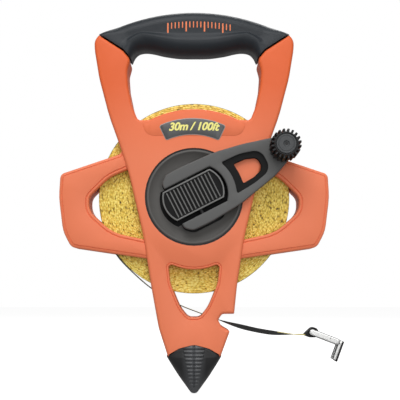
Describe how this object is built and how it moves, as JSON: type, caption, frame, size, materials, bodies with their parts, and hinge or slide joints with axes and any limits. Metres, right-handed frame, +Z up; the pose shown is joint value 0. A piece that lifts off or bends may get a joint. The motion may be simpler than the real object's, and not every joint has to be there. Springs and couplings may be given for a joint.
{
  "type": "surveyor tape reel",
  "caption": "Hand-held open-reel surveyor's tape: cross-shaped two-shell frame with a soft grip, pointed nose, folding hub crank with ribbed knob, and a hook on the blade's end.",
  "frame": {"origin": "centre of the soft grip, on the middle plane between the two shells", "axes": "+Z up through the grip, -Y towards the user who turns the crank, +X to the side the blade leaves by"},
  "size_m": [0.2295, 0.0609, 0.3124],
  "materials": {
    "orange_shell": "fine spark texture, high-visibility orange",
    "soft_grip": "soft satin black",
    "black_plastic": "satin black",
    "charcoal_plastic": "satin charcoal",
    "label_film": "printed film",
    "yellow_tape": "coated glass-fibre weave",
    "black_leader": "reinforcing film",
    "fastener_steel": "zinc plated",
    "bright_steel": "bright stainless"
  },
  "bodies": {
    "frame": {"front_frame": "orange_shell", "rear_frame": "orange_shell", "front_grip": "soft_grip", "rear_grip": "soft_grip", "frame_screws": "fastener_steel", "nose_cone": "black_plastic", "nose_pin": "fastener_steel", "front_bearing_ring": "black_plastic", "rear_bearing_ring": "black_plastic", "length_label": "label_film", "tape_lead": "yellow_tape", "tape_end_loop": "black_leader"},
    "spool": {"drum": "black_plastic", "front_hub_disc": "charcoal_plastic", "rear_hub_cap": "charcoal_plastic", "hub_screws": "fastener_steel", "thumb_pad": "black_plastic", "crank_hinge_pin": "fastener_steel", "tape_anchor": "fastener_steel", "tape_coil": "yellow_tape"},
    "crank": {"crank_arm": "charcoal_plastic", "knob_axle": "fastener_steel"},
    "knob": {"knob": "black_plastic", "knob_cap": "charcoal_plastic"},
    "hook": {"hook_body": "bright_steel", "loop_pin": "bright_steel", "claw_pin": "bright_steel"},
    "claw": {"hook_claw": "bright_steel"}
  },
  "joints": [
    {"name": "reel_spin", "type": "hinge", "parent": "frame", "child": "spool", "pos_m": [0, 0, -0.137], "axis": [0, 1, 0], "continuous": true},
    {"name": "crank_fold", "type": "hinge", "parent": "spool", "child": "crank", "pos_m": [0, -0.0195, -0.137], "axis": [0.454, 0, -0.891], "range_deg": [0, 158]},
    {"name": "knob_spin", "type": "hinge", "parent": "crank", "child": "knob", "pos_m": [0.07215, 0, -0.09799], "axis": [0, 1, 0], "continuous": true},
    {"name": "hook_swivel", "type": "hinge", "parent": "frame", "child": "hook", "pos_m": [0.0961, 0, -0.246], "axis": [0, 1, 0], "range_deg": [-60, 60]},
    {"name": "claw_fold", "type": "hinge", "parent": "hook", "child": "claw", "pos_m": [0.11349, 0, -0.2526], "axis": [0, 1, 0], "range_deg": [0, 90]}
  ]
}
